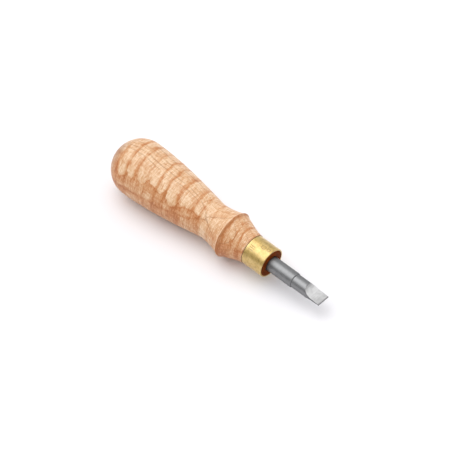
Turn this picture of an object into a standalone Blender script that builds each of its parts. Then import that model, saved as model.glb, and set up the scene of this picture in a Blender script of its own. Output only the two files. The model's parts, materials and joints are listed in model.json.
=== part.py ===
"""Lino cutter: a turned wooden handle with a brass ferrule, a dark bush in its mouth, and a steel
shank that carries a flat blade hollow-ground on both faces.

Metres, +Z up. Every piece is turned about the tool's own axis, local +X, with local x = 0 at the
blade's edge and negative x towards the butt. The tool lies on a flat surface on its belly and on
the ridge in front of the neck, nose down, and the origin is the middle of its footprint.
"""

import math

import bmesh
import bpy
from mathutils import Vector
from mathutils.geometry import interpolate_bezier

SIDES = 32  # flats round every turned piece
GAP = 0.0003  # room between neighbouring pieces

# Places along the axis, as local x
BUTT = -0.1380
FERRULE_REAR = -0.0465
MOUTH = -0.0340
SEAM = -0.0182

# Handle: distances are counted forward from the butt
DOME_LENGTH = 0.0150
BELLY_RADIUS = 0.01545
BELLY_REACH = 0.0226
NECK = 0.0655
NECK_RADIUS = 0.0099
NECK_REACH = 0.0030
RIDGE = 0.0781
RIDGE_RADIUS = 0.01266
FLARE_ANGLE = math.radians(39.5)
FLARE_REACH = 0.0025
QUIRK_LENGTH = 0.0009
QUIRK_DEPTH = 0.00075
BEAD_ANGLE = math.radians(20.0)
BEAD_REACH = 0.0037
COVE_REACH = 0.0035
COVE_RADIUS = 0.00825
SHOULDER_RADIUS = 0.0081

# Ferrule: 5/8 in tube
FERRULE_RADIUS = 0.00795
FERRULE_WALL = 0.0006
FERRULE_CHAMFER = 0.00015

# Mouth bush
BUSH_DEPTH = 0.0040
BUSH_CROWN = 0.0004

# Shank: 5/16 in rod, glued into the handle
SHANK_RADIUS = 0.0040
SHANK_END = -0.0840
SHANK_CHAMFER = 0.0004
TANG_CHAMFER = 0.0008
GROOVES = 4
GROOVE_FIRST = -0.0780
GROOVE_PITCH = 0.0070
GROOVE_WIDTH = 0.0025
GROOVE_DEPTH = 0.0004
GLUE_WALL = 0.0005
GLUE_FLOOR = 0.0008

# Blade: its spigot fits the socket in the shank
BLADE_RADIUS = 0.00365
SPIGOT_RADIUS = 0.0023
SPIGOT_LENGTH = 0.0060
EDGE_HALF = 0.00028
LAND_LENGTH = 0.0048
LAND_HALF = 0.00058
SCOOP_RADIUS = 0.0080
SCOOP_STEPS = 12

BUSH_REAR = MOUTH - BUSH_DEPTH
TENON_FRONT = BUSH_REAR - GAP
TENON_RADIUS = FERRULE_RADIUS - FERRULE_WALL - GAP
SOCKET_RADIUS = SPIGOT_RADIUS + GAP
SPIGOT_END = SEAM - SPIGOT_LENGTH
GLUE_INNER = SHANK_RADIUS + GAP
GLUE_OUTER = GLUE_INNER + GLUE_WALL
GLUE_BOTTOM = SHANK_END - GAP - GLUE_FLOOR
BORE_RADIUS = GLUE_OUTER + GAP
BORE_END = GLUE_BOTTOM - GAP


def clear_scene():
    for item in list(bpy.data.objects):
        bpy.data.objects.remove(item, do_unlink=True)


def finish(name, colour, roughness, metallic):
    """A Principled material of one colour."""
    material = bpy.data.materials.new(name)
    material.use_nodes = True
    shader = material.node_tree.nodes["Principled BSDF"]
    shader.inputs["Base Color"].default_value = (*colour, 1.0)
    shader.inputs["Roughness"].default_value = roughness
    shader.inputs["Metallic"].default_value = metallic
    return material


def curve(start, start_handle, end_handle, end, steps):
    """Points of a cubic Bezier curve after its start, as (x, radius)."""
    corners = [Vector((x, radius, 0)) for x, radius in (start, start_handle, end_handle, end)]
    points = interpolate_bezier(*corners, steps + 1)
    return [(point.x, point.y) for point in points[1:]]


def dome(length, radius, steps):
    """Points of a quarter ellipse, from its tip on the axis to its full radius, at the butt."""
    turns = [math.pi / 2 * step / steps for step in range(steps + 1)]
    return [(BUTT + length * (1 - math.cos(turn)), radius * math.sin(turn)) for turn in turns]


def handle_side():
    """The turned side of the handle, from the butt to its shoulder behind the ferrule."""
    belly = (BUTT + DOME_LENGTH, BELLY_RADIUS)
    neck = (BUTT + NECK, NECK_RADIUS)
    ridge = (BUTT + RIDGE, RIDGE_RADIUS)
    quirk = (ridge[0] + QUIRK_LENGTH, RIDGE_RADIUS - QUIRK_DEPTH)
    shoulder = (FERRULE_REAR, SHOULDER_RADIUS)
    side = dome(DOME_LENGTH, BELLY_RADIUS, 9)
    side += curve(belly, (belly[0] + BELLY_REACH, BELLY_RADIUS),
                  (neck[0] - NECK_REACH, NECK_RADIUS), neck, 15)
    side += curve(neck, (neck[0] + NECK_REACH, NECK_RADIUS),
                  (ridge[0] - FLARE_REACH * math.cos(FLARE_ANGLE),
                   ridge[1] - FLARE_REACH * math.sin(FLARE_ANGLE)), ridge, 8)
    side.append(quirk)
    side += curve(quirk, (quirk[0] + BEAD_REACH * math.cos(BEAD_ANGLE),
                          quirk[1] - BEAD_REACH * math.sin(BEAD_ANGLE)),
                  (shoulder[0] - COVE_REACH, COVE_RADIUS), shoulder, 9)
    return side


def turned(name, outline, material, rig, closed=False):
    """A solid turned about local X from an outline of (x, radius) points.

    An open outline starts and ends on the axis. Each flat's middle lies at the stated radius,
    and one flat faces straight down.
    """
    half_side = math.pi / SIDES
    across = math.tan(half_side)
    shape = bmesh.new()
    points = [shape.verts.new((x, radius * across, -radius)) for x, radius in outline]
    ends = points[1:] + points[:1] if closed else points[1:]
    edges = [shape.edges.new(pair) for pair in zip(points, ends)]
    bmesh.ops.spin(shape, geom=points + edges, axis=(1, 0, 0), cent=(0, 0, 0),
                   angle=2 * math.pi, steps=SIDES, use_merge=True)
    bmesh.ops.remove_doubles(shape, verts=shape.verts, dist=1e-6)
    bmesh.ops.recalc_face_normals(shape, faces=shape.faces)
    mesh = bpy.data.meshes.new(name)
    shape.to_mesh(mesh)
    shape.free()
    mesh.shade_smooth()
    mesh.set_sharp_from_angle(angle=math.radians(30))
    mesh.materials.append(material)
    piece = bpy.data.objects.new(name, mesh)
    piece.parent = rig
    bpy.context.collection.objects.link(piece)
    return piece


def handle(rig):
    """The wooden handle, with a tenon for the ferrule and a blind bore for the shank."""
    outline = handle_side() + [
        (FERRULE_REAR, TENON_RADIUS),
        (TENON_FRONT, TENON_RADIUS),
        (TENON_FRONT, BORE_RADIUS),
        (BORE_END, BORE_RADIUS),
        (BORE_END, 0.0),
    ]
    return turned("handle", outline, finish("maple", (0.80, 0.52, 0.31), 0.4, 0.0), rig)


def ferrule(rig):
    """The brass tube on the tenon, its outer edges broken by small chamfers."""
    rear = FERRULE_REAR + GAP
    inner = FERRULE_RADIUS - FERRULE_WALL
    rim = FERRULE_RADIUS - FERRULE_CHAMFER
    outline = [
        (rear, inner),
        (rear, rim),
        (rear + FERRULE_CHAMFER, FERRULE_RADIUS),
        (MOUTH - FERRULE_CHAMFER, FERRULE_RADIUS),
        (MOUTH, rim),
        (MOUTH, inner),
    ]
    return turned("ferrule", outline, finish("brass", (0.78, 0.60, 0.24), 0.3, 1.0), rig, closed=True)


def mouth_bush(rig):
    """The dark wooden bush in the ferrule's mouth, crowned a little proud of it."""
    hole = SHANK_RADIUS + GAP
    rim = TENON_RADIUS
    crown = MOUTH + BUSH_CROWN
    outline = [(BUSH_REAR, hole), (BUSH_REAR, rim), (MOUTH, rim)]
    outline += curve((MOUTH, rim), (crown, rim - BUSH_CROWN), (crown, hole + BUSH_CROWN),
                     (crown, hole), 5)
    return turned("mouth_bush", outline, finish("dark_wood", (0.13, 0.03, 0.01), 0.45, 0.0), rig,
                  closed=True)


def shank(rig):
    """The steel rod: glue grooves on the stretch in the handle and a socket in its front end."""
    outline = [
        (SHANK_END, 0.0),
        (SHANK_END, SHANK_RADIUS - TANG_CHAMFER),
        (SHANK_END + TANG_CHAMFER, SHANK_RADIUS),
    ]
    for groove in range(GROOVES):
        rear = GROOVE_FIRST + groove * GROOVE_PITCH
        outline += [
            (rear, SHANK_RADIUS),
            (rear + GROOVE_DEPTH, SHANK_RADIUS - GROOVE_DEPTH),
            (rear + GROOVE_WIDTH - GROOVE_DEPTH, SHANK_RADIUS - GROOVE_DEPTH),
            (rear + GROOVE_WIDTH, SHANK_RADIUS),
        ]
    outline += [
        (SEAM - SHANK_CHAMFER, SHANK_RADIUS),
        (SEAM, SHANK_RADIUS - SHANK_CHAMFER),
        (SEAM, SOCKET_RADIUS),
        (SPIGOT_END - GAP, SOCKET_RADIUS),
        (SPIGOT_END - GAP, 0.0),
    ]
    return turned("shank", outline, finish("steel", (0.30, 0.31, 0.32), 0.35, 1.0), rig)


def tang_epoxy(rig):
    """The cup of cured glue between the shank and the handle's bore."""
    front = TENON_FRONT - GAP
    outline = [
        (GLUE_BOTTOM, 0.0),
        (GLUE_BOTTOM, GLUE_OUTER),
        (front, GLUE_OUTER),
        (front, GLUE_INNER),
        (GLUE_BOTTOM + GLUE_FLOOR, GLUE_INNER),
        (GLUE_BOTTOM + GLUE_FLOOR, 0.0),
    ]
    return turned("tang_epoxy", outline, finish("epoxy", (0.60, 0.42, 0.18), 0.25, 0.0), rig)


def scoop_outline(side):
    """The space ground off one face of the blade, in local (x, z): a land that thickens from the
    edge, then a hollow of one radius that runs out through the blade's round."""
    slope = math.atan2(LAND_HALF - EDGE_HALF, LAND_LENGTH)
    centre_x = -LAND_LENGTH + SCOOP_RADIUS * math.sin(slope)
    centre_z = LAND_HALF + SCOOP_RADIUS * math.cos(slope)
    outside = BLADE_RADIUS * 1.2
    last = math.acos((centre_z - outside) / SCOOP_RADIUS)
    turns = [slope + (last - slope) * step / SCOOP_STEPS for step in range(SCOOP_STEPS + 1)]
    hollow = [(centre_x - SCOOP_RADIUS * math.sin(turn), centre_z - SCOOP_RADIUS * math.cos(turn))
              for turn in turns]
    ahead = LAND_LENGTH
    outline = [(ahead, outside), (ahead, EDGE_HALF - ahead * math.tan(slope)), *hollow]
    return [(x, side * z) for x, z in outline]


def scoop_cutter(name, side, rig):
    """The grinding wheel's cut on one face, as a solid across the whole blade."""
    half_width = BLADE_RADIUS * 1.5
    shape = bmesh.new()
    points = [shape.verts.new((x, -half_width, z)) for x, z in scoop_outline(side)]
    face = shape.faces.new(points)
    grown = bmesh.ops.extrude_face_region(shape, geom=[face])["geom"]
    far_side = [item for item in grown if isinstance(item, bmesh.types.BMVert)]
    bmesh.ops.translate(shape, verts=far_side, vec=(0, 2 * half_width, 0))
    bmesh.ops.recalc_face_normals(shape, faces=shape.faces)
    mesh = bpy.data.meshes.new(name)
    shape.to_mesh(mesh)
    shape.free()
    cutter = bpy.data.objects.new(name, mesh)
    cutter.parent = rig
    cutter.hide_render = True
    cutter.display_type = "WIRE"
    bpy.context.collection.objects.link(cutter)
    return cutter


def blade(rig):
    """The steel blade: a spigot, a round stretch, and a flat square end ground on both faces."""
    outline = [
        (SPIGOT_END, 0.0),
        (SPIGOT_END, SPIGOT_RADIUS),
        (SEAM + GAP, SPIGOT_RADIUS),
        (SEAM + GAP, BLADE_RADIUS),
        (0.0, BLADE_RADIUS),
        (0.0, 0.0),
    ]
    piece = turned("blade", outline, finish("blade_steel", (0.55, 0.56, 0.57), 0.3, 1.0), rig)
    for name, side in (("upper_scoop", 1), ("lower_scoop", -1)):
        cut = piece.modifiers.new(name, "BOOLEAN")
        cut.operation = "DIFFERENCE"
        cut.solver = "EXACT"
        cut.object = scoop_cutter(name, side, rig)
    return piece


def nose_down_tilt():
    """The angle at which the belly and the ridge both touch the surface under the tool."""
    ridge_x = BUTT + RIDGE
    slopes = [math.atan2(radius - RIDGE_RADIUS, ridge_x - x) for x, radius in handle_side()
              if x < ridge_x and radius > RIDGE_RADIUS]
    return max(slopes)


def set_down(rig, pieces):
    """Tilt the tool, stand it on z = 0 and centre its footprint on the origin."""
    rig.rotation_euler = (0, nose_down_tilt(), 0)
    graph = bpy.context.evaluated_depsgraph_get()
    graph.update()
    corners = []
    for piece in pieces:
        shown = piece.evaluated_get(graph)
        corners += [shown.matrix_world @ vertex.co for vertex in shown.data.vertices]
    middle = [(min(corner[i] for corner in corners) + max(corner[i] for corner in corners)) / 2
              for i in range(2)]
    rig.location = (-middle[0], -middle[1], -min(corner.z for corner in corners))


def main():
    clear_scene()
    rig = bpy.data.objects.new("tool_axis", None)
    bpy.context.collection.objects.link(rig)
    pieces = [build(rig) for build in (handle, ferrule, mouth_bush, shank, tang_epoxy, blade)]
    set_down(rig, pieces)


main()
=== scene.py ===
"""Looks of the lino cutter: a curly maple handle, a brushed brass ferrule, a dark wooden bush and a
steel shank with a flat ground blade.

Every piece is made in the tool's own frame, in metres: x runs along the tool with 0 at the blade's
edge and negative x towards the butt, y across it, and z up. The CAD model lies nose down, and RIG
puts that frame where the model is.
"""

import json
import math

import bmesh
import bpy
from mathutils import Matrix, Vector
from mathutils.geometry import interpolate_bezier


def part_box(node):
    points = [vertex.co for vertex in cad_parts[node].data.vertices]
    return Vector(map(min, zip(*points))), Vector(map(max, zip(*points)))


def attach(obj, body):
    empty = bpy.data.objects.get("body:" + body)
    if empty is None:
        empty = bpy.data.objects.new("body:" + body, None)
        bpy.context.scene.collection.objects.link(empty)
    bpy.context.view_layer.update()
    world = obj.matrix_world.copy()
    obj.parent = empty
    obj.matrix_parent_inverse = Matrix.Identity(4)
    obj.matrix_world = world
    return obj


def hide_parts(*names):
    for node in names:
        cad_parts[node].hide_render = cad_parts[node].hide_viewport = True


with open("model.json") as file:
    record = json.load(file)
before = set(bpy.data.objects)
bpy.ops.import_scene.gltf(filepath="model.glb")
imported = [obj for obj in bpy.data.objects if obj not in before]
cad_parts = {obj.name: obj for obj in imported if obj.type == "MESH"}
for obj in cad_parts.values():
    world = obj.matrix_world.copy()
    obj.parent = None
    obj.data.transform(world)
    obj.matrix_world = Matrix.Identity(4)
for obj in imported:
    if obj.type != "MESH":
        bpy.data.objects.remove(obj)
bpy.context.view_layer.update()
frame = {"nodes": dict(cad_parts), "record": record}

MM = 0.001
GAP = 0.3 * MM  # room between the CAD model's neighbouring pieces
SEGMENTS = 192  # faces round a turned piece
SAME_POINT = 1e-7  # vertices closer than this become one
SHARP_ANGLE = math.radians(32)  # an edge that bends more than this stays sharp
TOLERANCE = 0.01 * MM  # how near a point counts as lying on a surface
ROUNDING_STEPS = 4  # faces across a rounded corner of an outline

# Places along the axis, as local x
BUTT = -138.0 * MM
FERRULE_REAR = -46.5 * MM
MOUTH = -34.0 * MM
SEAM = -18.2 * MM

# Handle: distances are counted forward from the butt
DOME_LENGTH = 15.0 * MM
BELLY_RADIUS = 15.45 * MM
BELLY_REACH = 22.6 * MM
NECK = 65.5 * MM
NECK_RADIUS = 9.9 * MM
NECK_REACH = 3.0 * MM
RIDGE = 78.1 * MM
RIDGE_RADIUS = 12.66 * MM
RIDGE_ROUNDING = 0.18 * MM
FLARE_ANGLE = math.radians(39.5)
FLARE_REACH = 2.5 * MM
QUIRK_LENGTH = 0.9 * MM
QUIRK_DEPTH = 0.75 * MM
QUIRK_ROUNDING = 0.10 * MM
BEAD_ANGLE = math.radians(20.0)
BEAD_REACH = 3.7 * MM
COVE_REACH = 3.5 * MM
COVE_RADIUS = 8.25 * MM
SHOULDER_RADIUS = 8.1 * MM
DOME_STEPS = 40
BELLY_STEPS = 90
FLARE_STEPS = 40
BEAD_STEPS = 48

# Ferrule, a thin tube that stands just off the handle's shoulder
FERRULE_RADIUS = 7.95 * MM
FERRULE_WALL = 0.6 * MM
FERRULE_CHAMFER = 0.15 * MM
FERRULE_SEAT = 0.05 * MM
FERRULE_SEGMENTS = 480
FERRULE_STEPS = 110

# Marks punched into the ferrule, by mm forward of its rear and degrees round from its top
MARK_DEPTH = 0.12 * MM
MARK_HALF_WIDTH = 0.22 * MM
BAR_LENGTH = 2.6 * MM
BARS = ((2.8, 22), (2.8, 30), (2.8, 38))
RINGS = ((7.4, 1, 1.15), (10.3, -1, 0.85))  # the third number is the ring's radius in mm

# Bush in the ferrule's mouth, with a crown that drops a little towards its hole
BUSH_DEPTH = 4.0 * MM
BUSH_CROWN = 0.4 * MM
BUSH_DROP = 0.25 * MM
BUSH_FACE_BACK = 0.05 * MM
BUSH_HOLE_ROOM = 0.12 * MM
BUSH_RIM_ROOM = 0.04 * MM
BUSH_STEPS = 16

SHANK_RADIUS = 4.0 * MM
SHANK_END = -84.0 * MM
SHANK_CHAMFER = 0.32 * MM
SHANK_ROUNDING = 0.08 * MM
SHANK_LIP_ROUNDING = 0.06 * MM
TANG_CHAMFER = 0.8 * MM
GLUE_WALL = 1.1 * MM
GLUE_BOTTOM = 1.4 * MM

# Blade: a round whose two faces are ground to a flat land and, behind it, a hollow
BLADE_RADIUS = 3.65 * MM
BLADE_CHAMFER = 0.06 * MM
SPIGOT_RADIUS = 2.3 * MM
SPIGOT_LENGTH = 6.0 * MM
SPIGOT_CHAMFER = 0.2 * MM
SEAM_WIDTH = 0.10 * MM
EDGE_HALF = 0.28 * MM
EDGE_CHAMFER = 0.05 * MM
LAND_LENGTH = 4.8 * MM
LAND_HALF = 0.58 * MM
SCOOP_RADIUS = 8.0 * MM
CORNER_ROUNDING = 0.05 * MM
LEAST_FLAT = math.radians(4)  # half the angle that the flat of a section spans, at least
FLAT_STEPS = 24
CORNER_STEPS = 3
SIDE_STEPS = 24
ROUND_STEPS = 12
SCOOP_STEPS = 72
SCOOP_CROWDING = 1.5  # above 1, so sections crowd towards the hollow's steep rear end
LAND_STEPS = 16
GROUND_INSIDE = 0.999  # a ground face is nearer the axis than this share of the blade's radius
GROUND_UP = 0.5  # and its normal points at least this much up or down

# Worked out from the sizes above
TENON_RADIUS = FERRULE_RADIUS - FERRULE_WALL - GAP
BUSH_REAR = MOUTH - BUSH_DEPTH
TENON_FRONT = BUSH_REAR - GAP
BORE_RADIUS = SHANK_RADIUS + GLUE_WALL
BORE_END = SHANK_END - GLUE_BOTTOM
BLADE_REAR = SEAM + SEAM_WIDTH
LAND_SLOPE = math.atan2(LAND_HALF - EDGE_HALF, LAND_LENGTH)
SCOOP_X = -LAND_LENGTH + SCOOP_RADIUS * math.sin(LAND_SLOPE)
SCOOP_Z = LAND_HALF + SCOOP_RADIUS * math.cos(LAND_SLOPE)

# Camera
AZIMUTH = math.radians(43.005)
ELEVATION = math.radians(47.012)
DISTANCE = 1.0321
LOOK_AT = Vector((0.016687, -0.012733, 0.034669))
LENS = 171.07
SENSOR = 36.0
NEAREST = 0.01
FARTHEST = 20.0

# Light: the sky's strength is SKY_LEVEL plus how far its direction goes along SKY_GRADIENT. The
# soft box in it is full within BOX_INNER of BOX_WAY and gone at BOX_OUTER.
SKY_LEVEL = 0.61
SKY_LEAST = 0.05
SKY_GRADIENT = (0.14, 0.22, 0.36)
BOX_WAY = Vector((-0.40, -0.20, 0.89))
BOX_LEVEL = 1.83
BOX_INNER = math.radians(22)
BOX_OUTER = math.radians(40)

FLOOR_REACH = 3.0
FLOOR_SQUARES = 8
FLOOR_DROP = 0.02 * MM  # keeps the floor clear of the handle's underside


def tool_frame():
    """The matrix that puts the tool's own frame where the CAD model's ferrule is."""
    mount = next(m for m in frame["record"]["mounts"] if m["name"] == "ferrule_front")
    along = Vector(mount["axis"]).normalized()
    across = Vector((0, 1, 0))
    upward = along.cross(across)
    low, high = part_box("ferrule")
    ferrule_middle = (FERRULE_REAR + GAP + MOUTH) / 2
    origin = (low + high) / 2 - along * ferrule_middle
    rig = Matrix((along, across, upward)).transposed().to_4x4()
    rig.translation = origin
    return rig


RIG = tool_frame()


# ---------------------------------------------------------------- shapes

def curve(start, start_handle, end_handle, end, steps):
    """Points of a cubic Bezier curve after its start, as (x, radius)."""
    corners = [Vector((x, radius, 0)) for x, radius in (start, start_handle, end_handle, end)]
    points = interpolate_bezier(*corners, steps + 1)
    return [(point.x, point.y) for point in points[1:]]


def walked(points, reach):
    """Where a walk of length `reach` along the points ends, and how many points it passes."""
    here = Vector(points[0])
    for passed, point in enumerate(points[1:]):
        step = Vector(point) - here
        if step.length >= reach:
            return tuple(here + step * (reach / step.length)), passed
        reach -= step.length
        here = Vector(point)
    return tuple(here), len(points) - 2


def bend(start, corner, end, t):
    """The point at t, from 0 to 1, of the curve that rounds a corner between start and end."""
    return tuple((1 - t) ** 2 * s + 2 * t * (1 - t) * c + t ** 2 * e
                 for s, c, e in zip(start, corner, end))


def eased(points, corner, reach):
    """The outline with one corner rounded by a curve that starts `reach` before it."""
    at = points.index(corner)
    before, skipped_before = walked(points[at::-1], reach)
    after, skipped_after = walked(points[at:], reach)
    rounding = [bend(before, corner, after, step / ROUNDING_STEPS)
                for step in range(ROUNDING_STEPS + 1)]
    return points[:at - skipped_before] + rounding + points[at + 1 + skipped_after:]


def handle_side():
    """The turned side of the handle, from the butt to its shoulder behind the ferrule."""
    belly = (BUTT + DOME_LENGTH, BELLY_RADIUS)
    neck = (BUTT + NECK, NECK_RADIUS)
    ridge = (BUTT + RIDGE, RIDGE_RADIUS)
    quirk = (ridge[0] + QUIRK_LENGTH, RIDGE_RADIUS - QUIRK_DEPTH)
    shoulder = (FERRULE_REAR, SHOULDER_RADIUS)
    turns = [math.pi / 2 * step / DOME_STEPS for step in range(DOME_STEPS + 1)]
    side = [(BUTT + DOME_LENGTH * (1 - math.cos(turn)), BELLY_RADIUS * math.sin(turn))
            for turn in turns]
    side += curve(belly, (belly[0] + BELLY_REACH, BELLY_RADIUS),
                  (neck[0] - NECK_REACH, NECK_RADIUS), neck, BELLY_STEPS)
    side += curve(neck, (neck[0] + NECK_REACH, NECK_RADIUS),
                  (ridge[0] - FLARE_REACH * math.cos(FLARE_ANGLE),
                   ridge[1] - FLARE_REACH * math.sin(FLARE_ANGLE)), ridge, FLARE_STEPS)
    side[-1] = ridge  # exactly, so that eased() finds it
    side.append(quirk)
    side += curve(quirk, (quirk[0] + BEAD_REACH * math.cos(BEAD_ANGLE),
                          quirk[1] - BEAD_REACH * math.sin(BEAD_ANGLE)),
                  (shoulder[0] - COVE_REACH, COVE_RADIUS), shoulder, BEAD_STEPS)
    side = eased(side, ridge, RIDGE_ROUNDING)
    return eased(side, quirk, QUIRK_ROUNDING)


def placed(name, shape, material, node):
    """Make an object of the mesh, in the tool's place, that stands for a CAD node."""
    bmesh.ops.remove_doubles(shape, verts=shape.verts, dist=SAME_POINT)
    bmesh.ops.recalc_face_normals(shape, faces=shape.faces)
    mesh = bpy.data.meshes.new(name)
    shape.to_mesh(mesh)
    shape.free()
    mesh.transform(RIG)
    mesh.shade_smooth()
    mesh.set_sharp_from_angle(angle=SHARP_ANGLE)
    mesh.materials.append(material)
    piece = bpy.data.objects.new(name, mesh)
    bpy.context.collection.objects.link(piece)
    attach(piece, "root")
    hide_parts(node)
    return piece


def turned(outline, closed=False, segments=SEGMENTS):
    """The mesh turned about local x from an outline of (x, radius) points."""
    shape = bmesh.new()
    points = [shape.verts.new((x, 0, -radius)) for x, radius in outline]
    ends = points[1:] + points[:1] if closed else points[1:]
    edges = [shape.edges.new(pair) for pair in zip(points, ends)]
    bmesh.ops.spin(shape, geom=points + edges, axis=(1, 0, 0), cent=(0, 0, 0),
                   angle=2 * math.pi, steps=segments, use_merge=True)
    return shape


def make_handle():
    outline = handle_side() + [
        (FERRULE_REAR, TENON_RADIUS),
        (TENON_FRONT, TENON_RADIUS),
        (TENON_FRONT, BORE_RADIUS),
        (BORE_END, BORE_RADIUS),
        (BORE_END, 0.0),
    ]
    return placed("maple_handle", turned(outline), maple(), "handle")


def mark_place(forward, turn):
    """A punch mark's middle on the ferrule's skin, as x and the way round from the top."""
    return FERRULE_REAR + forward * MM, math.radians(turn) * FERRULE_RADIUS


def bar(x, around, length):
    """Distance to a short bar that runs along the tube."""
    return lambda px, pa: math.hypot(max(0.0, abs(px - x) - length / 2), pa - around)


def ring(x, around, radius):
    """Distance to a ring punched into the tube."""
    return lambda px, pa: abs(math.hypot(px - x, pa - around) - radius)


def punch_marks():
    """The maker's punch marks, as plain bars and rings."""
    bars = [bar(*mark_place(forward, turn), BAR_LENGTH) for forward, turn in BARS]
    rings = [ring(*mark_place(forward, turn), radius * MM) for forward, turn, radius in RINGS]
    return bars + rings


def stroke_depth(x, around, strokes):
    """How deep the nearest mark is at a point of the ferrule's skin, from 0 to 1."""
    ratio = min(distance(x, around) for distance in strokes) / MARK_HALF_WIDTH
    return max(0.0, 1.0 - ratio * ratio)


def ferrule_outline():
    """The tube's wall, closed, with enough steps along its skin to carry the punch marks."""
    rear = FERRULE_REAR + FERRULE_SEAT
    inner = FERRULE_RADIUS - FERRULE_WALL
    rim = FERRULE_RADIUS - FERRULE_CHAMFER
    first = rear + FERRULE_CHAMFER
    length = MOUTH - FERRULE_CHAMFER - first
    skin = [(first + length * step / FERRULE_STEPS, FERRULE_RADIUS)
            for step in range(FERRULE_STEPS + 1)]
    return [(rear, inner), (rear, rim)] + skin + [(MOUTH, rim), (MOUTH, inner)]


def make_ferrule():
    shape = turned(ferrule_outline(), closed=True, segments=FERRULE_SEGMENTS)
    strokes = punch_marks()
    for vertex in shape.verts:
        x, y, z = vertex.co
        radius = math.hypot(y, z)
        if radius > FERRULE_RADIUS - TOLERANCE:
            around = math.atan2(-y, z) * FERRULE_RADIUS
            shrink = 1 - MARK_DEPTH * stroke_depth(x, around, strokes) / radius
            vertex.co.y = y * shrink
            vertex.co.z = z * shrink
    return placed("brass_ferrule", shape, brass(), "ferrule")


def make_bush():
    hole = SHANK_RADIUS + BUSH_HOLE_ROOM
    rim = FERRULE_RADIUS - FERRULE_WALL - BUSH_RIM_ROOM
    face = MOUTH - BUSH_FACE_BACK
    crown = MOUTH + BUSH_CROWN
    outline = [(BUSH_REAR, hole), (BUSH_REAR, rim), (face, rim)]
    outline += curve((face, rim), (crown, rim - BUSH_CROWN), (crown, hole + BUSH_CROWN),
                     (crown - BUSH_DROP, hole), BUSH_STEPS)
    return placed("dark_bush", turned(outline, closed=True), dark_wood(), "mouth_bush")


def make_shank():
    chamfer = (SEAM, SHANK_RADIUS - SHANK_CHAMFER)
    front = (SEAM - SHANK_CHAMFER, SHANK_RADIUS)
    socket = SPIGOT_RADIUS + GAP
    bottom = SEAM - SPIGOT_LENGTH - GAP
    outline = [
        (SHANK_END, 0.0),
        (SHANK_END, SHANK_RADIUS - TANG_CHAMFER),
        (SHANK_END + TANG_CHAMFER, SHANK_RADIUS),
        front,
        chamfer,
        (SEAM, socket),
        (bottom, socket),
        (bottom, 0.0),
    ]
    outline = eased(outline, front, SHANK_ROUNDING)
    outline = eased(outline, chamfer, SHANK_LIP_ROUNDING)
    return placed("steel_shank", turned(outline), shank_steel(), "shank")


def half_thickness(x):
    """Half the blade's thickness at x: the land, then the hollow, then the full round."""
    if x >= -LAND_LENGTH:
        return EDGE_HALF - x * math.tan(LAND_SLOPE)
    run = SCOOP_X - x
    if run >= SCOOP_RADIUS:
        return BLADE_RADIUS
    return min(BLADE_RADIUS, SCOOP_Z - math.sqrt(SCOOP_RADIUS ** 2 - run ** 2))


def blade_section(x, inset=0.0):
    """One cross-section of the blade as (y, z) points, flats above and below and round sides."""
    radius = BLADE_RADIUS - inset
    half = min(half_thickness(x) - inset, radius)
    corner = max(math.acos(half / radius), LEAST_FLAT)
    width = radius * math.sin(corner)
    reach = min(CORNER_ROUNDING, width / 4)
    quarter = []
    for step in range(FLAT_STEPS):
        y = (width - reach) * step / (FLAT_STEPS - 1)
        quarter.append((y, min(half, math.sqrt(radius ** 2 - y ** 2))))
    start = quarter[-1]
    tip = (width, min(half, radius * math.cos(corner)))
    turn = corner + reach / radius
    end = (radius * math.sin(turn), radius * math.cos(turn))
    for step in range(1, CORNER_STEPS + 1):
        quarter.append(bend(start, tip, end, step / (CORNER_STEPS + 1)))
    for step in range(SIDE_STEPS):
        angle = turn + (math.pi / 2 - turn) * step / SIDE_STEPS
        quarter.append((radius * math.sin(angle), radius * math.cos(angle)))
    right = quarter + [(radius, 0.0)] + [(y, -z) for y, z in reversed(quarter)]
    left = [(-y, z) for y, z in reversed(right[1:-1])]
    return right + left


def blade_stations():
    """The x of each cross-section: along the round, the hollow and the land, short of the edge."""
    last = math.acos((SCOOP_Z - BLADE_RADIUS) / SCOOP_RADIUS)
    run_out = SCOOP_X - SCOOP_RADIUS * math.sin(last)
    first = BLADE_REAR + BLADE_CHAMFER
    stations = [first + (run_out - first) * step / ROUND_STEPS for step in range(ROUND_STEPS)]
    for step in range(SCOOP_STEPS + 1):
        share = (step / SCOOP_STEPS) ** SCOOP_CROWDING
        turn = last + (LAND_SLOPE - last) * share
        stations.append(SCOOP_X - SCOOP_RADIUS * math.sin(turn))
    stations += [-LAND_LENGTH * (1 - step / LAND_STEPS) for step in range(1, LAND_STEPS)]
    return stations + [-EDGE_CHAMFER]


def blade_rings():
    """Every cross-section of the blade from the spigot's end to the edge, as (x, points)."""
    def scaled(radius):
        return [(y * radius / BLADE_RADIUS, z * radius / BLADE_RADIUS)
                for y, z in blade_section(SEAM)]

    spigot_end = SEAM - SPIGOT_LENGTH
    rings = [
        (spigot_end, scaled(SPIGOT_RADIUS - SPIGOT_CHAMFER)),
        (spigot_end + SPIGOT_CHAMFER, scaled(SPIGOT_RADIUS)),
        (BLADE_REAR, scaled(SPIGOT_RADIUS)),
        (BLADE_REAR, scaled(BLADE_RADIUS - BLADE_CHAMFER)),
    ]
    rings += [(x, blade_section(x)) for x in blade_stations()]
    return rings + [(0.0, blade_section(0.0, inset=EDGE_CHAMFER))]


def skinned(rings):
    """The closed mesh through rings of (y, z) points, each at its own x."""
    shape = bmesh.new()
    rows = [[shape.verts.new((x, y, z)) for y, z in points] for x, points in rings]
    for one, two in zip(rows, rows[1:]):
        for index in range(len(one)):
            after = (index + 1) % len(one)
            shape.faces.new((one[index], one[after], two[after], two[index]))
    shape.faces.new(rows[0])
    shape.faces.new(list(reversed(rows[-1])))
    return shape


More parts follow.
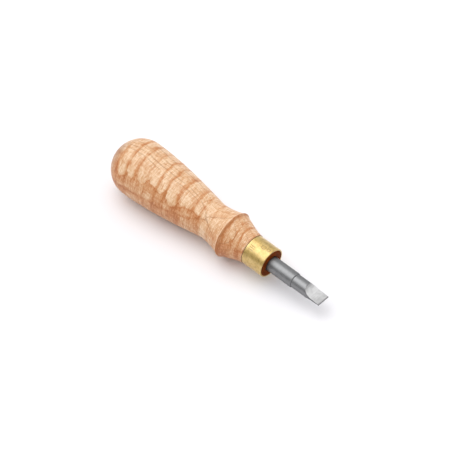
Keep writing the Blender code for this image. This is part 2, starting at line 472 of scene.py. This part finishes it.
def is_ground(point, normal):
    """Whether a face with this middle and normal, in the tool's frame, is ground and not round."""
    ahead = -LAND_LENGTH - SCOOP_RADIUS < point.x < -TOLERANCE
    inside = math.hypot(point.y, point.z) < BLADE_RADIUS * GROUND_INSIDE
    return ahead and inside and abs(normal.z) > GROUND_UP


def make_blade():
    piece = placed("steel_blade", skinned(blade_rings()), blade_steel(), "blade")
    piece.data.materials.append(ground_steel())
    to_tool = RIG.inverted()
    for face in piece.data.polygons:
        if is_ground(to_tool @ face.center, to_tool.to_3x3() @ face.normal):
            face.material_index = 1
    return piece


def finish_glue():
    """The glue stays the CAD node and only gets a material."""
    materials = frame["nodes"]["tang_epoxy"].data.materials
    materials.clear()
    materials.append(amber_glue())


# ---------------------------------------------------------------- materials

class Graph:
    """Short calls that build a node tree."""

    def __init__(self, tree):
        self.tree = tree

    def put(self, kind, inputs=None, **settings):
        node = self.tree.nodes.new("ShaderNode" + kind)
        for key, value in settings.items():
            setattr(node, key, value)
        for key, value in (inputs or {}).items():
            self.feed(node.inputs[key], value)
        return node

    def feed(self, socket, value):
        if isinstance(value, bpy.types.NodeSocket):
            self.tree.links.new(value, socket)
        else:
            socket.default_value = value

    def maths(self, operation, *values):
        return self.put("Math", dict(enumerate(values)), operation=operation).outputs[0]

    def add(self, *values):
        total = values[0]
        for value in values[1:]:
            total = self.maths("ADD", total, value)
        return total

    def times(self, *values):
        total = values[0]
        for value in values[1:]:
            total = self.maths("MULTIPLY", total, value)
        return total

    def less(self, value, taken):
        return self.maths("SUBTRACT", value, taken)

    def vector(self, operation, *values):
        node = self.put("VectorMath", dict(enumerate(values)), operation=operation)
        return node.outputs["Value" if operation in ("DOT_PRODUCT", "LENGTH") else "Vector"]

    def remap(self, value, low, high, to_low=0.0, to_high=1.0, smooth=False):
        node = self.put("MapRange", {0: value, 1: low, 2: high, 3: to_low, 4: to_high})
        node.interpolation_type = "SMOOTHSTEP" if smooth else "LINEAR"
        return node.outputs[0]

    def rise(self, value, low, high):
        """0 below low and 1 above high, with a smooth way between."""
        return self.remap(value, low, high, smooth=True)

    def fall(self, value, low, high):
        """1 below low and 0 above high, with a smooth way between."""
        return self.remap(value, low, high, 1.0, 0.0, smooth=True)

    def ramp(self, value, *stops, rounded=False):
        node = self.put("ValToRGB", {"Fac": value})
        node.color_ramp.interpolation = "EASE" if rounded else "LINEAR"
        elements = node.color_ramp.elements
        while len(elements) < len(stops):
            elements.new(0.5)
        for element, (position, colour) in zip(elements, stops):
            element.position = position
            element.color = (*colour, 1.0)
        return node.outputs["Color"]

    def track(self, value, points, rounded=False):
        """A height that runs through these (place, height) points, straight or rounded."""
        places, heights = zip(*points)
        first, length = places[0], places[-1] - places[0]
        low, span = min(heights), max(heights) - min(heights)
        stops = [((place - first) / length, ((height - low) / span,) * 3)
                 for place, height in points]
        share = self.ramp(self.remap(value, first, places[-1]), *stops, rounded=rounded)
        return self.add(self.times(share, span), low)

    def mix(self, factor, one, two, blend="MIX"):
        node = self.put("Mix", data_type="RGBA", blend_type=blend)
        self.feed(node.inputs[0], factor)
        for socket, value in ((node.inputs[6], one), (node.inputs[7], two)):
            self.feed(socket, value if isinstance(value, bpy.types.NodeSocket) else (*value, 1.0))
        return node.outputs[2]


class Surface(Graph):
    """One material's nodes. Lengths in its textures are millimetres in the tool's own frame."""

    def __init__(self, name):
        self.material = bpy.data.materials.new(name)
        self.material.use_nodes = True
        super().__init__(self.material.node_tree)
        self.shader = self.tree.nodes["Principled BSDF"]
        where = self.put("TexCoord").outputs["Object"]
        self.place = self.put("Mapping", {
            "Vector": where, "Location": RIG.translation, "Rotation": RIG.to_euler(),
            "Scale": (MM, MM, MM)}, vector_type="TEXTURE").outputs["Vector"]
        split = self.put("SeparateXYZ", {"Vector": self.place})
        self.x, self.y, self.z = split.outputs

    def stretched(self, factors):
        return self.vector("MULTIPLY", self.place, factors)

    def radius(self):
        """Distance from the tool's axis."""
        return self.vector("LENGTH", self.stretched((0, 1, 1)))

    def noise(self, factors, detail, roughness=0.5):
        """Noise from 0 to 1. A larger factor makes it finer along that axis."""
        node = self.put("TexNoise", {"Vector": self.stretched(factors), "Scale": 1.0,
                                     "Detail": detail, "Roughness": roughness})
        return node.outputs["Fac"]

    def centred(self, value, reach):
        """A noise value moved to swing between about -reach and +reach."""
        return self.times(self.less(value, 0.5), 2.0 * reach)

    def along(self, start, full, fading, end):
        """1 along the tool from full to fading, and 0 before start and after end."""
        return self.times(self.rise(self.x, start, full), self.fall(self.x, fading, end))

    def bump(self, height, distance, strength):
        inputs = {"Height": height, "Distance": distance, "Strength": strength}
        return self.put("Bump", inputs).outputs["Normal"]

    def finish(self, colour, roughness, normal, **uniform):
        self.feed(self.shader.inputs["Base Color"], colour)
        self.feed(self.shader.inputs["Roughness"], roughness)
        self.feed(self.shader.inputs["Normal"], normal)
        for key, value in uniform.items():
            self.shader.inputs[key.replace("_", " ")].default_value = value
        return self.material


def facing(angle):
    """The unit vector that points out of the tool at this angle from its top towards -Y."""
    return (0.0, -math.sin(angle), math.cos(angle))


FLAT_FACE = math.radians(38)  # the way the flat-sawn face looks, from the top towards -Y

# The handle's figure, as (place, height) points set against the photo unrolled off the handle.
# Along the tool a place is x in mm. Round it an angle is in degrees from the top towards -Y.

# Cross bands: how many start behind each x, how dark each part of a band is, and how much they show
CURLS = ((-142, 0), (-135.5, 1), (-129, 2), (-122.7, 3), (-116.9, 4), (-110.5, 5), (-103.4, 6),
         (-98, 7), (-90.4, 8), (-81.2, 9), (-77, 10), (-70, 11), (-64.5, 12), (-59.3, 13),
         (-54.8, 14), (-51.8, 15), (-46.5, 16), (-41, 17))
BAND = ((0, 1), (0.05, 0.7), (0.10, 0.15), (0.20, 0), (0.70, 0.08), (0.86, 0.5), (0.95, 1), (1, 1))
CURL_STRENGTH = ((-142, 0.1), (-131, 0.15), (-126, 0.7), (-122.7, 1), (-116.9, 0.95),
                 (-113, 0.3), (-109, 0.3), (-103.4, 0.75), (-98, 1), (-90.4, 1), (-84, 0.6),
                 (-77, 0.7), (-71, 0.3), (-62, 0.2), (-59.3, 1), (-54.8, 0.5), (-51.8, 1),
                 (-47, 0.4), (-41, 0.4))

# Pale lobes: the angle of their edge at each x, and how dark the wood is past that edge
PALE_EDGE = ((-140, 20), (-129, 30), (-128, 50), (-126.5, 64), (-123.5, 68), (-121, 62),
             (-120.2, 52), (-119, 61), (-117, 60), (-115, 47), (-113.5, 55), (-110.5, 56),
             (-107.4, 41), (-106, 48), (-103.5, 51), (-99, 53), (-96.8, 38), (-95, 57), (-92, 65),
             (-89.5, 60), (-88.2, 45), (-86.5, 53), (-84, 46), (-80, 43), (-76.5, 47), (-73, 38))
PALE_SIDE = ((-7, 0), (-1.5, 0.2), (0.5, 0.95), (2, 1), (4.5, 0.75), (16, 0.66), (30, 0.6),
             (60, 0.45))

# The darker lower side: the angle of its edge at each x, and how dark the wood is past that edge
LOW_EDGE = ((-140, 100), (-125, 93), (-110, 86), (-101, 86), (-94, 82), (-88, 75), (-84, 74),
            (-80, 67), (-77, 57), (-73, 39), (-60, -40))
LOW_SIDE = ((-6, 0), (-1, 0.85), (0.5, 1), (2.5, 0.35), (30, 0.2))

# Thin lines: how far they turn round the handle at each x, and how dark it is at each angle then
LINE_TURN = ((-140, 0), (-130, 2), (-118, -2), (-108, 1), (-98, 0), (-88, -2), (-82, 1), (-78, 9),
             (-73, 27), (-60, 27))
THIN_LINES = ((-60, 0), (-29, 0), (-27, 1), (-25, 0), (-21, 0), (-20, 0.35), (-19, 0), (-15, 0),
              (-13, 0.7), (-11, 0), (-7, 0), (-5.5, 0.6), (-4, 0), (1, 0), (3, 0.95), (5, 0),
              (10, 0), (12, 0.85), (13.5, 0), (18, 0), (19.5, 0.4), (21, 0), (60, 0))

YEAR_WIDTH = 2.3  # mm of wood between year rings
YEAR_START = 13.1  # mm behind the axis, seen from the flat face, where their count starts


class Maple(Surface):
    """The places, fades and noises that the parts of the handle's figure share.

    A fade is 1 in the part that it is named after, and 0 outside it unless a comment says more.
    """

    def __init__(self):
        super().__init__("curly_maple")
        self.outward = self.vector("DOT_PRODUCT", self.place, facing(FLAT_FACE))
        self.downward = self.vector("DOT_PRODUCT", self.place, facing(FLAT_FACE + math.pi / 2))
        around = self.maths("ARCTAN2", self.times(self.y, -1.0), self.z)
        self.around = self.times(around, 180.0 / math.pi)

        # Along the tool: the body, the neck up to the ridge, and the bead in front of it. Front is
        # neck and bead together, and sided drops to 0.25 on the butt's dome.
        self.body = self.fall(self.x, -78, -73)
        self.front = self.less(1.0, self.body)
        self.bead = self.rise(self.x, -61, -59)
        self.neck = self.times(self.front, self.less(1.0, self.bead))
        self.sided = self.remap(self.x, -135, -127, 0.25, 1.0, smooth=True)

        # Round it: skirt leaves out the middle of the butt, and wrap ends before the angle's jump
        # at the bottom. Lower is the side towards -Y and below, and upper drops to 0.35 there.
        self.skirt = self.rise(self.radius(), 3.0, 9.0)
        wrap = self.fall(self.around, 125, 178)
        self.shown = self.times(wrap, self.skirt)
        lower = self.rise(self.around, 35, 75)
        self.under = self.times(lower, self.shown)
        self.upper = self.add(self.times(lower, wrap, -0.65), 1.0)

        self.fade = self.noise((0.11, 0.3, 0.3), detail=1)
        self.feather = self.noise((1.8, 0.25, 0.25), detail=4, roughness=0.75)
        self.fibre = self.noise((0.25, 6.0, 6.0), detail=3, roughness=0.6)
        self.stray = self.centred(self.noise((0.40, 0.45, 0.45), detail=1), 5.5)
        self.bent = self.add(self.around, self.stray)


def maple_curls(wood):
    """The cross bands of curly grain, weaker on the lower side."""
    lean = wood.times(wood.add(wood.downward, 9.5), -0.13)
    wobble = wood.centred(wood.noise((0.12, 0.20, 0.20), detail=5, roughness=0.6), 1.8)
    wave = wood.maths("FRACT", wood.track(wood.add(wood.x, lean, wobble), CURLS))
    patchy = wood.noise((0.2, 0.28, 0.28), detail=3)
    strength = wood.times(wood.upper, wood.remap(patchy, 0.35, 0.60, 0.35, 1.1),
                          wood.track(wood.x, CURL_STRENGTH),
                          wood.remap(wood.feather, 0.3, 0.6, 0.7, 1.1))
    return wood.times(wood.track(wave, BAND), strength)


def maple_heart(wood):
    """The darker wood outside the pale lobes of the flat-sawn face."""
    past = wood.less(wood.bent, wood.track(wood.x, PALE_EDGE, rounded=True))
    return wood.times(wood.track(past, PALE_SIDE), wood.body, wood.shown, wood.sided)


def maple_low_side(wood):
    """The line and the shade of the lower side."""
    past = wood.less(wood.bent, wood.track(wood.x, LOW_EDGE))
    return wood.times(wood.track(past, LOW_SIDE), wood.body, wood.shown, wood.sided,
                      wood.remap(wood.fade, 0.3, 0.6, 0.4, 1.0))


def maple_thin_lines(wood):
    """Thin broken lines along the top of the body, which turn towards -Y at the neck."""
    angle = wood.less(wood.add(wood.around, wood.times(wood.stray, 0.25)),
                      wood.track(wood.x, LINE_TURN))
    broken = wood.remap(wood.noise((0.22, 0.6, 0.6), detail=3), 0.32, 0.50)
    return wood.times(wood.track(angle, THIN_LINES), broken, wood.body, wood.skirt, wood.sided)


def maple_years(wood):
    """The year rings in front of the body, as their thin lines and the late wood's shade."""
    wander = wood.centred(wood.noise((0.35, 0.55, 0.55), detail=2), 0.25)
    count = wood.times(wood.add(wood.outward, wander, YEAR_START), 1 / YEAR_WIDTH)
    year = wood.maths("FRACT", count)
    line = wood.add(wood.rise(year, 0.93, 0.99), wood.fall(year, 0.0, 0.02))
    return (wood.times(wood.maths("MINIMUM", line, 1.0), wood.front),
            wood.times(wood.maths("POWER", year, 2.0), wood.front))


def maple_mottle(wood):
    """Small changes of tone, from patches down to fine grain."""
    column = wood.times(wood.centred(wood.noise((0.30, 0.035, 0.035), detail=2), 0.5),
                        wood.remap(wood.under, 0.0, 1.0, 0.2, 1.0))
    return wood.add(wood.centred(wood.noise((0.13, 0.20, 0.20), detail=3), 0.36),
                    wood.centred(wood.feather, 0.65),
                    wood.centred(wood.noise((3.4, 0.4, 0.4), detail=2, roughness=0.7), 0.8),
                    wood.centred(wood.noise((0.16, 1.3, 1.3), detail=4, roughness=0.7), 0.50),
                    column)


def maple_butt_tone_and_painted_shade(wood):
    """Painted shade on the -Y side of the butt's end grain, and a little darker in its middle."""
    painted_side_shade = wood.times(wood.rise(wood.around, -25, 15), wood.shown,
                           wood.remap(wood.around, 40, 70, 1.0, 0.5))
    middle = wood.times(wood.less(1.0, wood.skirt), 0.6)
    return wood.times(wood.fall(wood.x, -134, -127), wood.add(painted_side_shade, middle))


def maple_overlays(wood, year_line):
    """What lies over the wood's own tone, as (how much, colour), in order, with some painted light.
    """
    line = wood.maths("MAXIMUM",
                      wood.times(year_line, wood.remap(wood.fade, 0.3, 0.7, 0.35, 0.6)),
                      wood.times(maple_thin_lines(wood), 0.62))
    pores = wood.noise((0.22, 3.5, 3.5), detail=2)
    quirk = wood.along(-60.0, -59.6, -59.0, -58.0)
    crest_highlight = wood.along(-60.9, -60.4, -60.2, -59.9)
    joint_shade = wood.rise(wood.x, -47.0, -46.45)
    return (
        (line, (0.30, 0.12, 0.04)),
        (wood.remap(pores, 0.60, 0.72, 0.0, 0.35), (0.36, 0.17, 0.08)),
        (wood.remap(wood.fibre, 0.55, 0.85, 0.0, 0.25), (0.38, 0.19, 0.09)),
        # Quirk: partly painted shade in the hollow in front of the ridge, partly its darker end
        # grain
        (wood.times(quirk, 0.5), (0.37, 0.125, 0.03)),
        # Painted highlight along the ridge's crest
        (wood.times(crest_highlight, 0.45), (0.85, 0.63, 0.44)),
        # Painted shade in the crease where the handle meets the ferrule
        (wood.times(joint_shade, 0.7), (0.16, 0.07, 0.03)),
    )


def maple():
    """Curly maple, flat-sawn on the side that faces -Y and up, oiled satin."""
    wood = Maple()
    curls = maple_curls(wood)
    year_line, late_wood = maple_years(wood)
    # The last two terms are painted shade on the lower side of the bead and of the neck
    dark = wood.add(wood.times(curls, 0.85), wood.times(maple_heart(wood), 0.57),
                    wood.times(maple_low_side(wood), 0.45), wood.times(late_wood, 0.14),
                    wood.times(wood.bead, 0.10), wood.times(wood.bead, wood.under, 0.40),
                    wood.times(wood.neck, wood.under, 0.09))
    colour = wood.ramp(wood.add(dark, maple_mottle(wood), 0.19),
                       (0.0, (0.81, 0.59, 0.40)), (0.16, (0.725, 0.483, 0.292)),
                       (0.45, (0.61, 0.33, 0.163)), (0.75, (0.54, 0.22, 0.08)),
                       (1.0, (0.40, 0.13, 0.038)))
    colour = wood.mix(wood.times(curls, wood.upper, 0.35), colour, (0.58, 0.25, 0.075))
    # Painted shade on the butt's -Y side, and a little darker tone in its middle
    colour = wood.mix(maple_butt_tone_and_painted_shade(wood), colour, (0.64, 0.565, 0.54), blend="MULTIPLY")
    for share, shade in maple_overlays(wood, year_line):
        colour = wood.mix(share, colour, shade)
    rough = wood.remap(wood.fibre, 0.2, 0.8, 0.36, 0.50)
    return wood.finish(colour, rough, wood.bump(wood.fibre, 0.02 * MM, 0.4),
                       Specular_IOR_Level=0.4)


def brushed(metal, fast, slow):
    """Fine and coarse lines that run round the tool."""
    fine = metal.noise((fast, slow, slow), detail=3, roughness=0.6)
    coarse = metal.noise((fast / 5, slow, slow), detail=2)
    return fine, coarse


def inside_marks(metal):
    """1 where the ferrule's skin is punched in, and on its hidden inner wall, else 0."""
    rear, mouth = FERRULE_REAR / MM, MOUTH / MM
    radius = metal.times(metal.radius(), MM)
    sunk = metal.remap(radius, FERRULE_RADIUS - 0.7 * MARK_DEPTH,
                       FERRULE_RADIUS - 0.1 * MARK_DEPTH, 1.0, 0.0)
    between_rims = metal.times(metal.remap(metal.x, rear + 0.4, rear + 0.5),
                               metal.remap(metal.x, mouth - 0.4, mouth - 0.3, 1.0, 0.0))
    return metal.times(sunk, between_rims)


def brass():
    metal = Surface("brushed_brass")
    fine, coarse = brushed(metal, 5.0, 0.25)
    patch = metal.noise((0.5, 0.5, 0.5), detail=4)
    spots = metal.noise((2.0, 1.2, 1.2), detail=3, roughness=0.65)
    shade = metal.add(metal.times(fine, 0.35), metal.times(patch, 0.35), metal.times(spots, 0.3))
    colour = metal.ramp(shade, (0.39, (0.39, 0.24, 0.030)), (0.5, (0.585, 0.39, 0.083)),
                        (0.61, (0.70, 0.505, 0.175)))
    colour = metal.mix(metal.times(inside_marks(metal), 0.55), colour, (0.22, 0.12, 0.03))
    rough = metal.add(metal.times(fine, 0.20), metal.times(patch, 0.14), 0.30)
    lines = metal.bump(metal.add(metal.times(fine, 0.5), coarse), 0.010 * MM, 1.0)
    return metal.finish(colour, rough, lines, Metallic=1.0, Anisotropic=0.3, Coat_Weight=1.0,
                        Coat_Roughness=0.28, Coat_IOR=1.85, Specular_Tint=(1.0, 0.88, 0.55, 1.0))


def steel(name, dark, light, rough_low, fast, slow, painted_light):
    """Turned or ground steel. The last argument is painted light: how much brighter it is at each
    x.
    """
    metal = Surface(name)
    fine, coarse = brushed(metal, fast, slow)
    patch = metal.noise((0.6, 0.6, 0.6), detail=4)
    shade = metal.add(metal.times(fine, 0.5), metal.times(patch, 0.5),
                      metal.track(metal.x, painted_light))
    rough = metal.add(metal.times(fine, 0.15), metal.times(patch, 0.12), rough_low)
    lines = metal.bump(metal.add(metal.times(fine, 0.5), coarse), 0.006 * MM, 1.0)
    return metal.finish(metal.mix(shade, dark, light), rough, lines, Metallic=1.0,
                        Specular_Tint=(0.6, 0.6, 0.6, 1.0))


def shank_steel():
    # Painted shade and a painted reflection of the dark bush darken the shank next to the bush
    return steel("turned_steel", (0.105, 0.105, 0.108), (0.30, 0.302, 0.307), 0.28, 6.0, 0.3,
                 painted_light=((-35, -0.45), (-32.5, -0.1), (-29, 0.2), (-18, 0.2)))


def blade_steel():
    # Painted shade darkens the round towards the edge, most on the end face
    return steel("blade_round", (0.17, 0.171, 0.176), (0.31, 0.312, 0.317), 0.27, 6.0, 0.3,
                 painted_light=((-19, 0.0), (-9, 0.1), (-6, -0.2), (-0.3, -0.4), (0, -0.6)))


def ground_steel():
    # Painted shade at the hollow's start and at the edge, and a painted highlight between them
    return steel("ground_face", (0.24, 0.238, 0.24), (0.84, 0.838, 0.84), 0.26, 2.2, 0.15,
                 painted_light=((-10.7, -0.7), (-10.1, -0.25), (-9.4, 0), (-7.5, 0.22), (-4, -0.04),
                        (-0.5, -0.12), (-0.2, -0.6)))


def dark_wood():
    wood = Surface("dark_end_grain")
    grain = wood.noise((0.6, 1.6, 3.2), detail=4, roughness=0.6)
    pores = wood.noise((0.8, 6.0, 6.0), detail=3)
    colour = wood.ramp(grain, (0.36, (0.035, 0.008, 0.002)), (0.53, (0.165, 0.030, 0.002)),
                       (0.68, (0.31, 0.072, 0.010)))
    colour = wood.mix(wood.remap(pores, 0.55, 0.8, 0.0, 0.5), colour, (0.02, 0.006, 0.003))
    rough = wood.remap(grain, 0.3, 0.7, 0.50, 0.66)
    return wood.finish(colour, rough, wood.bump(pores, 0.05 * MM, 0.5), Specular_IOR_Level=0.03)


def amber_glue():
    glue = Surface("cured_glue")
    cloud = glue.noise((0.3, 0.5, 0.5), detail=3)
    colour = glue.ramp(cloud, (0.3, (0.42, 0.24, 0.07)), (0.7, (0.62, 0.42, 0.18)))
    rough = glue.remap(cloud, 0.3, 0.7, 0.18, 0.34)
    return glue.finish(colour, rough, glue.bump(cloud, 0.1 * MM, 0.4))


def paper():
    """The pale floor, faintly mottled."""
    sheet = Surface("pale_floor")
    mottle = sheet.noise((0.02, 0.02, 0.02), detail=4)
    colour = sheet.ramp(mottle, (0.3, (0.85, 0.84, 0.865)), (0.7, (0.87, 0.86, 0.885)))
    return sheet.finish(colour, 0.9, sheet.bump(mottle, 0.02 * MM, 0.1), Specular_IOR_Level=0.2)


# ---------------------------------------------------------------- stage

def make_floor():
    shape = bmesh.new()
    bmesh.ops.create_grid(shape, x_segments=FLOOR_SQUARES, y_segments=FLOOR_SQUARES,
                          size=FLOOR_REACH)
    mesh = bpy.data.meshes.new("floor")
    shape.to_mesh(mesh)
    shape.free()
    mesh.materials.append(paper())
    floor = bpy.data.objects.new("floor", mesh)
    floor.location.z = -FLOOR_DROP
    bpy.context.collection.objects.link(floor)


def make_sky():
    """Soft studio light, and plain white where the camera sees past the floor."""
    world = bpy.data.worlds.new("studio")
    bpy.context.scene.world = world
    world.use_nodes = True
    world.node_tree.nodes.clear()
    sky = Graph(world.node_tree)
    way = sky.put("TexCoord").outputs["Generated"]
    slope = sky.add(sky.vector("DOT_PRODUCT", way, SKY_GRADIENT), SKY_LEVEL)
    slope = sky.maths("MAXIMUM", slope, SKY_LEAST)
    box = sky.remap(sky.vector("DOT_PRODUCT", way, BOX_WAY.normalized()), math.cos(BOX_OUTER),
                    math.cos(BOX_INNER), 0.0, BOX_LEVEL, smooth=True)
    light = sky.put("Background", {"Color": (1, 1, 1, 1), "Strength": sky.add(slope, box)})
    seen = sky.put("Background", {"Color": (1, 1, 1, 1), "Strength": 1.0})
    path = sky.put("LightPath").outputs["Is Camera Ray"]
    choice = sky.put("MixShader", {0: path, 1: light.outputs[0], 2: seen.outputs[0]})
    sky.put("OutputWorld", {"Surface": choice.outputs[0]})


def make_camera():
    data = bpy.data.cameras.new("camera")
    data.lens = LENS
    data.sensor_width = SENSOR
    data.clip_start = NEAREST
    data.clip_end = FARTHEST
    camera = bpy.data.objects.new("camera", data)
    back = Vector((math.sin(AZIMUTH) * math.cos(ELEVATION),
                   -math.cos(AZIMUTH) * math.cos(ELEVATION),
                   math.sin(ELEVATION)))
    camera.location = LOOK_AT + back * DISTANCE
    camera.rotation_euler = back.to_track_quat("Z", "Y").to_euler()
    bpy.context.collection.objects.link(camera)
    bpy.context.scene.camera = camera


make_handle()
make_ferrule()
make_bush()
make_shank()
make_blade()
finish_glue()
make_floor()
make_sky()
make_camera()
bpy.context.scene.view_settings.view_transform = "Standard"
